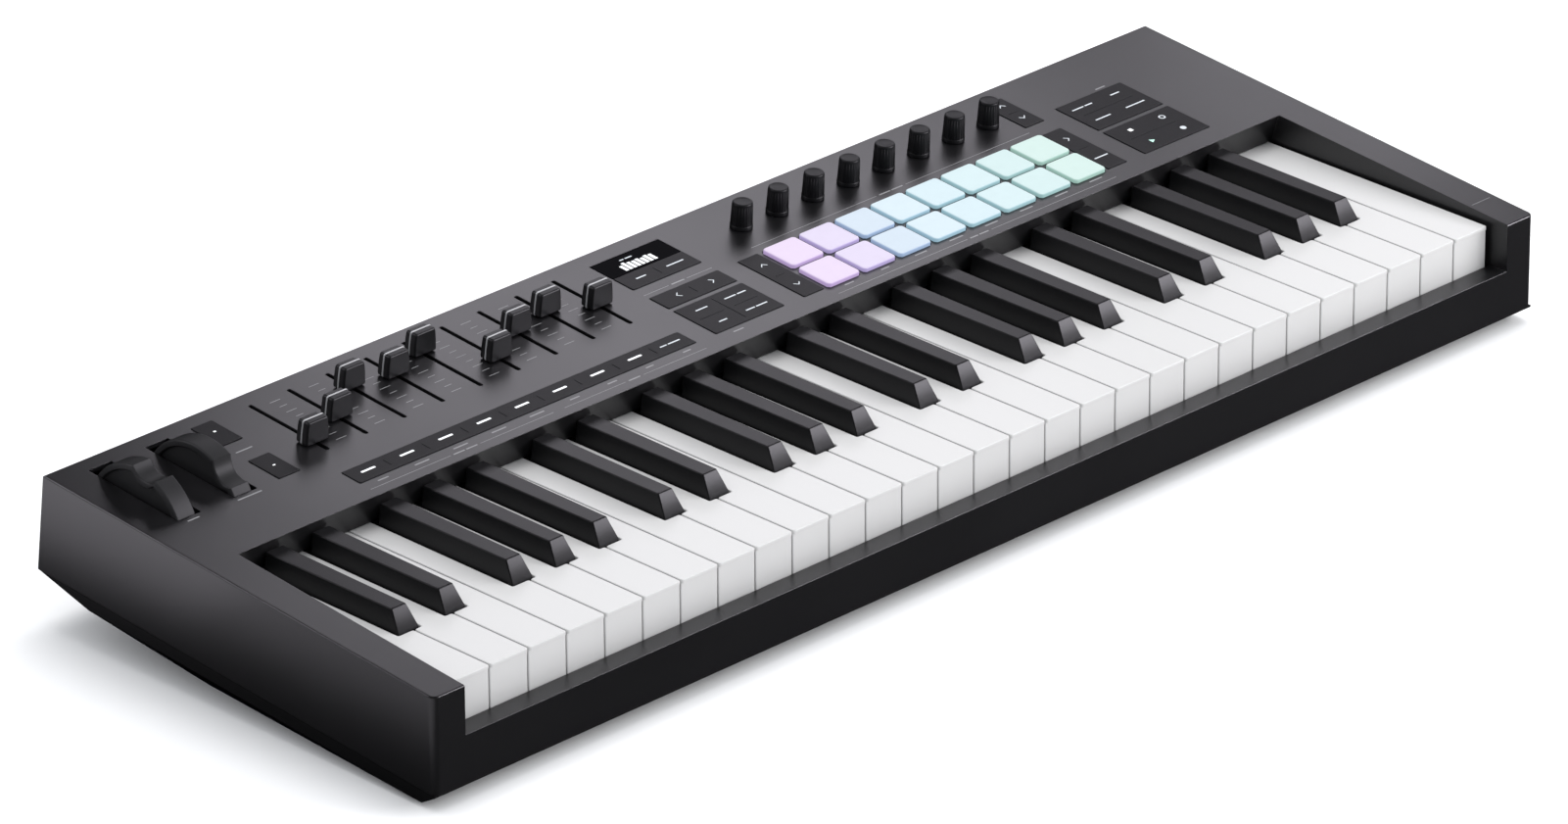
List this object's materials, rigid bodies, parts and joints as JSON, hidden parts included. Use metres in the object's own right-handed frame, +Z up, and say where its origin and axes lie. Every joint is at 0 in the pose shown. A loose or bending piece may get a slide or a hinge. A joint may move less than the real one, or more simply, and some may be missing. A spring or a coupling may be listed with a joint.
{
  "type": "keyboard controller",
  "caption": "Keyboard controller: wedge case with end cheeks, hinged white and black keys, and a sloping panel with wheels, faders, knobs, pads, rubber buttons and a small screen.",
  "frame": {"origin": "middle of the footprint, on the surface that the feet stand on", "axes": "+X along the keyboard towards the high notes, +Y towards the back, +Z up"},
  "size_m": [0.7232, 0.2628, 0.0897],
  "materials": {
    "shell": "fine satin texture",
    "pan": "moulded texture",
    "foot_rubber": "matte",
    "screw_steel": "black oxide",
    "chassis": "moulded",
    "felt": "felt",
    "board": "solder mask",
    "contact_rubber": "matte silicone",
    "lens": "polished",
    "screen": "polished",
    "component": "plated",
    "socket": "moulded",
    "key_white": "satin",
    "key_black": "satin",
    "button_rubber": "matte",
    "pad_silicone": "translucent matte",
    "fader_plastic": "satin",
    "knob_plastic": "satin",
    "wheel_plastic": "soft touch"
  },
  "bodies": {
    "case": {"top_shell": "shell", "bottom_pan": "pan", "rubber_feet": "foot_rubber", "case_screws": "screw_steel", "key_chassis": "chassis", "key_stop_felt": "felt", "key_contact_board": "board", "key_contact_domes": "contact_rubber", "control_board": "board", "display_window": "lens", "display_module": "screen", "fader_pots": "component", "encoders": "component", "wheel_cradle": "chassis", "usb_midi_sockets": "socket", "pedal_jack": "socket", "socket_board": "board"},
    "naturals_cegb_1": {"naturals_cegb_1": "key_white"},
    "naturals_dfa_1": {"naturals_dfa_1": "key_white"},
    "sharps_1": {"sharps_1": "key_black"},
    "naturals_cegb_2": {"naturals_cegb_2": "key_white"},
    "naturals_dfa_2": {"naturals_dfa_2": "key_white"},
    "sharps_2": {"sharps_2": "key_black"},
    "naturals_cegb_3": {"naturals_cegb_3": "key_white"},
    "naturals_dfa_3": {"naturals_dfa_3": "key_white"},
    "sharps_3": {"sharps_3": "key_black"},
    "naturals_cegb_4": {"naturals_cegb_4": "key_white"},
    "naturals_dfa_4": {"naturals_dfa_4": "key_white"},
    "sharps_4": {"sharps_4": "key_black"},
    "natural_top_c": {"natural_top_c": "key_white"},
    "octave_buttons": {"octave_buttons": "button_rubber"},
    "fader_buttons": {"fader_buttons": "button_rubber"},
    "display_buttons": {"display_buttons": "button_rubber"},
    "track_buttons": {"track_buttons": "button_rubber"},
    "function_buttons": {"function_buttons": "button_rubber"},
    "pad_scene_buttons": {"pad_scene_buttons": "button_rubber"},
    "pad_launch_buttons": {"pad_launch_buttons": "button_rubber"},
    "encoder_page_buttons": {"encoder_page_buttons": "button_rubber"},
    "edit_buttons": {"edit_buttons": "button_rubber"},
    "transport_buttons": {"transport_buttons": "button_rubber"},
    "pad_bank": {"pad_bank": "pad_silicone"},
    "fader_cap_1": {"fader_cap_1": "fader_plastic"},
    "fader_cap_2": {"fader_cap_2": "fader_plastic"},
    "fader_cap_3": {"fader_cap_3": "fader_plastic"},
    "fader_cap_4": {"fader_cap_4": "fader_plastic"},
    "fader_cap_5": {"fader_cap_5": "fader_plastic"},
    "fader_cap_6": {"fader_cap_6": "fader_plastic"},
    "fader_cap_7": {"fader_cap_7": "fader_plastic"},
    "fader_cap_8": {"fader_cap_8": "fader_plastic"},
    "fader_cap_9": {"fader_cap_9": "fader_plastic"},
    "knob_1": {"knob_1": "knob_plastic"},
    "knob_2": {"knob_2": "knob_plastic"},
    "knob_3": {"knob_3": "knob_plastic"},
    "knob_4": {"knob_4": "knob_plastic"},
    "knob_5": {"knob_5": "knob_plastic"},
    "knob_6": {"knob_6": "knob_plastic"},
    "knob_7": {"knob_7": "knob_plastic"},
    "knob_8": {"knob_8": "knob_plastic"},
    "pitch_wheel": {"pitch_wheel": "wheel_plastic"},
    "modulation_wheel": {"modulation_wheel": "wheel_plastic"}
  },
  "joints": [
    {"name": "naturals_cegb_1_press", "type": "hinge", "parent": "case", "child": "naturals_cegb_1", "pos_m": [0, 0.0406, 0.0329], "axis": [1, 0, 0], "range_deg": [0, 3.6], "stiffness_Nm_per_rad": 2, "springref_deg": -14.32},
    {"name": "naturals_dfa_1_press", "type": "hinge", "parent": "case", "child": "naturals_dfa_1", "pos_m": [0, 0.0406, 0.0394], "axis": [1, 0, 0], "range_deg": [0, 3.6], "stiffness_Nm_per_rad": 1.5, "springref_deg": -14.32},
    {"name": "sharps_1_press", "type": "hinge", "parent": "case", "child": "sharps_1", "pos_m": [0, 0.0406, 0.0459], "axis": [1, 0, 0], "range_deg": [0, 3.6], "stiffness_Nm_per_rad": 2, "springref_deg": -14.32},
    {"name": "naturals_cegb_2_press", "type": "hinge", "parent": "case", "child": "naturals_cegb_2", "pos_m": [0, 0.0406, 0.0329], "axis": [1, 0, 0], "range_deg": [0, 3.6], "stiffness_Nm_per_rad": 2, "springref_deg": -14.32},
    {"name": "naturals_dfa_2_press", "type": "hinge", "parent": "case", "child": "naturals_dfa_2", "pos_m": [0, 0.0406, 0.0394], "axis": [1, 0, 0], "range_deg": [0, 3.6], "stiffness_Nm_per_rad": 1.5, "springref_deg": -14.32},
    {"name": "sharps_2_press", "type": "hinge", "parent": "case", "child": "sharps_2", "pos_m": [0, 0.0406, 0.0459], "axis": [1, 0, 0], "range_deg": [0, 3.6], "stiffness_Nm_per_rad": 2, "springref_deg": -14.32},
    {"name": "naturals_cegb_3_press", "type": "hinge", "parent": "case", "child": "naturals_cegb_3", "pos_m": [0, 0.0406, 0.0329], "axis": [1, 0, 0], "range_deg": [0, 3.6], "stiffness_Nm_per_rad": 2, "springref_deg": -14.32},
    {"name": "naturals_dfa_3_press", "type": "hinge", "parent": "case", "child": "naturals_dfa_3", "pos_m": [0, 0.0406, 0.0394], "axis": [1, 0, 0], "range_deg": [0, 3.6], "stiffness_Nm_per_rad": 1.5, "springref_deg": -14.32},
    {"name": "sharps_3_press", "type": "hinge", "parent": "case", "child": "sharps_3", "pos_m": [0, 0.0406, 0.0459], "axis": [1, 0, 0], "range_deg": [0, 3.6], "stiffness_Nm_per_rad": 2, "springref_deg": -14.32},
    {"name": "naturals_cegb_4_press", "type": "hinge", "parent": "case", "child": "naturals_cegb_4", "pos_m": [0, 0.0406, 0.0329], "axis": [1, 0, 0], "range_deg": [0, 3.6], "stiffness_Nm_per_rad": 2, "springref_deg": -14.32},
    {"name": "naturals_dfa_4_press", "type": "hinge", "parent": "case", "child": "naturals_dfa_4", "pos_m": [0, 0.0406, 0.0394], "axis": [1, 0, 0], "range_deg": [0, 3.6], "stiffness_Nm_per_rad": 1.5, "springref_deg": -14.32},
    {"name": "sharps_4_press", "type": "hinge", "parent": "case", "child": "sharps_4", "pos_m": [0, 0.0406, 0.0459], "axis": [1, 0, 0], "range_deg": [0, 3.6], "stiffness_Nm_per_rad": 2, "springref_deg": -14.32},
    {"name": "natural_top_c_press", "type": "hinge", "parent": "case", "child": "natural_top_c", "pos_m": [0, 0.0406, 0.0329], "axis": [1, 0, 0], "range_deg": [0, 3.6], "stiffness_Nm_per_rad": 0.6, "springref_deg": -14.32},
    {"name": "octave_buttons_press", "type": "slide", "parent": "case", "child": "octave_buttons", "axis": [0, 0.0825, -0.9966], "range_m": [0, 0.0006], "stiffness_N_per_m": 600, "springref_m": -0.002},
    {"name": "fader_buttons_press", "type": "slide", "parent": "case", "child": "fader_buttons", "axis": [0, 0.0825, -0.9966], "range_m": [0, 0.0006], "stiffness_N_per_m": 600, "springref_m": -0.002},
    {"name": "display_buttons_press", "type": "slide", "parent": "case", "child": "display_buttons", "axis": [0, 0.0825, -0.9966], "range_m": [0, 0.0006], "stiffness_N_per_m": 600, "springref_m": -0.002},
    {"name": "track_buttons_press", "type": "slide", "parent": "case", "child": "track_buttons", "axis": [0, 0.0825, -0.9966], "range_m": [0, 0.0006], "stiffness_N_per_m": 600, "springref_m": -0.002},
    {"name": "function_buttons_press", "type": "slide", "parent": "case", "child": "function_buttons", "axis": [0, 0.0825, -0.9966], "range_m": [0, 0.0006], "stiffness_N_per_m": 600, "springref_m": -0.002},
    {"name": "pad_scene_buttons_press", "type": "slide", "parent": "case", "child": "pad_scene_buttons", "axis": [0, 0.0825, -0.9966], "range_m": [0, 0.0006], "stiffness_N_per_m": 600, "springref_m": -0.002},
    {"name": "pad_launch_buttons_press", "type": "slide", "parent": "case", "child": "pad_launch_buttons", "axis": [0, 0.0825, -0.9966], "range_m": [0, 0.0006], "stiffness_N_per_m": 600, "springref_m": -0.002},
    {"name": "encoder_page_buttons_press", "type": "slide", "parent": "case", "child": "encoder_page_buttons", "axis": [0, 0.0825, -0.9966], "range_m": [0, 0.0006], "stiffness_N_per_m": 600, "springref_m": -0.002},
    {"name": "edit_buttons_press", "type": "slide", "parent": "case", "child": "edit_buttons", "axis": [0, 0.0825, -0.9966], "range_m": [0, 0.0006], "stiffness_N_per_m": 600, "springref_m": -0.002},
    {"name": "transport_buttons_press", "type": "slide", "parent": "case", "child": "transport_buttons", "axis": [0, 0.0825, -0.9966], "range_m": [0, 0.0006], "stiffness_N_per_m": 600, "springref_m": -0.002},
    {"name": "pad_bank_press", "type": "slide", "parent": "case", "child": "pad_bank", "axis": [0, 0.0825, -0.9966], "range_m": [0, 0.0004], "stiffness_N_per_m": 3000, "springref_m": -0.002},
    {"name": "fader_1_slide", "type": "slide", "parent": "case", "child": "fader_cap_1", "axis": [0, 0.9966, 0.0825], "range_m": [-0.00843, 0.04024]},
    {"name": "fader_2_slide", "type": "slide", "parent": "case", "child": "fader_cap_2", "axis": [0, 0.9966, 0.0825], "range_m": [-0.01836, 0.0303]},
    {"name": "fader_3_slide", "type": "slide", "parent": "case", "child": "fader_cap_3", "axis": [0, 0.9966, 0.0825], "range_m": [-0.03582, 0.01284]},
    {"name": "fader_4_slide", "type": "slide", "parent": "case", "child": "fader_cap_4", "axis": [0, 0.9966, 0.0825], "range_m": [-0.03171, 0.01696]},
    {"name": "fader_5_slide", "type": "slide", "parent": "case", "child": "fader_cap_5", "axis": [0, 0.9966, 0.0825], "range_m": [-0.03953, 0.00913]},
    {"name": "fader_6_slide", "type": "slide", "parent": "case", "child": "fader_cap_6", "axis": [0, 0.9966, 0.0825], "range_m": [-0.01355, 0.03512]},
    {"name": "fader_7_slide", "type": "slide", "parent": "case", "child": "fader_cap_7", "axis": [0, 0.9966, 0.0825], "range_m": [-0.02599, 0.02268]},
    {"name": "fader_8_slide", "type": "slide", "parent": "case", "child": "fader_cap_8", "axis": [0, 0.9966, 0.0825], "range_m": [-0.03101, 0.01766]},
    {"name": "fader_9_slide", "type": "slide", "parent": "case", "child": "fader_cap_9", "axis": [0, 0.9966, 0.0825], "range_m": [-0.02107, 0.02759]},
    {"name": "knob_1_turn", "type": "hinge", "parent": "case", "child": "knob_1", "pos_m": [0.05405, 0.0986, 0.07573], "axis": [0, -0.0825, 0.9966], "continuous": true},
    {"name": "knob_2_turn", "type": "hinge", "parent": "case", "child": "knob_2", "pos_m": [0.07805, 0.0986, 0.07573], "axis": [0, -0.0825, 0.9966], "continuous": true},
    {"name": "knob_3_turn", "type": "hinge", "parent": "case", "child": "knob_3", "pos_m": [0.10205, 0.0986, 0.07573], "axis": [0, -0.0825, 0.9966], "continuous": true},
    {"name": "knob_4_turn", "type": "hinge", "parent": "case", "child": "knob_4", "pos_m": [0.12605, 0.0986, 0.07573], "axis": [0, -0.0825, 0.9966], "continuous": true},
    {"name": "knob_5_turn", "type": "hinge", "parent": "case", "child": "knob_5", "pos_m": [0.15005, 0.0986, 0.07573], "axis": [0, -0.0825, 0.9966], "continuous": true},
    {"name": "knob_6_turn", "type": "hinge", "parent": "case", "child": "knob_6", "pos_m": [0.17405, 0.0986, 0.07573], "axis": [0, -0.0825, 0.9966], "continuous": true},
    {"name": "knob_7_turn", "type": "hinge", "parent": "case", "child": "knob_7", "pos_m": [0.19805, 0.0986, 0.07573], "axis": [0, -0.0825, 0.9966], "continuous": true},
    {"name": "knob_8_turn", "type": "hinge", "parent": "case", "child": "knob_8", "pos_m": [0.22205, 0.0986, 0.07573], "axis": [0, -0.0825, 0.9966], "continuous": true},
    {"name": "pitch_wheel_turn", "type": "hinge", "parent": "case", "child": "pitch_wheel", "pos_m": [-0.33645, 0.0854, 0.0576], "axis": [-1, 0, 0], "range_deg": [-40, 40], "stiffness_Nm_per_rad": 0.06},
    {"name": "modulation_wheel_turn", "type": "hinge", "parent": "case", "child": "modulation_wheel", "pos_m": [-0.30245, 0.0854, 0.0576], "axis": [-1, 0, 0], "range_deg": [0, 80]}
  ]
}
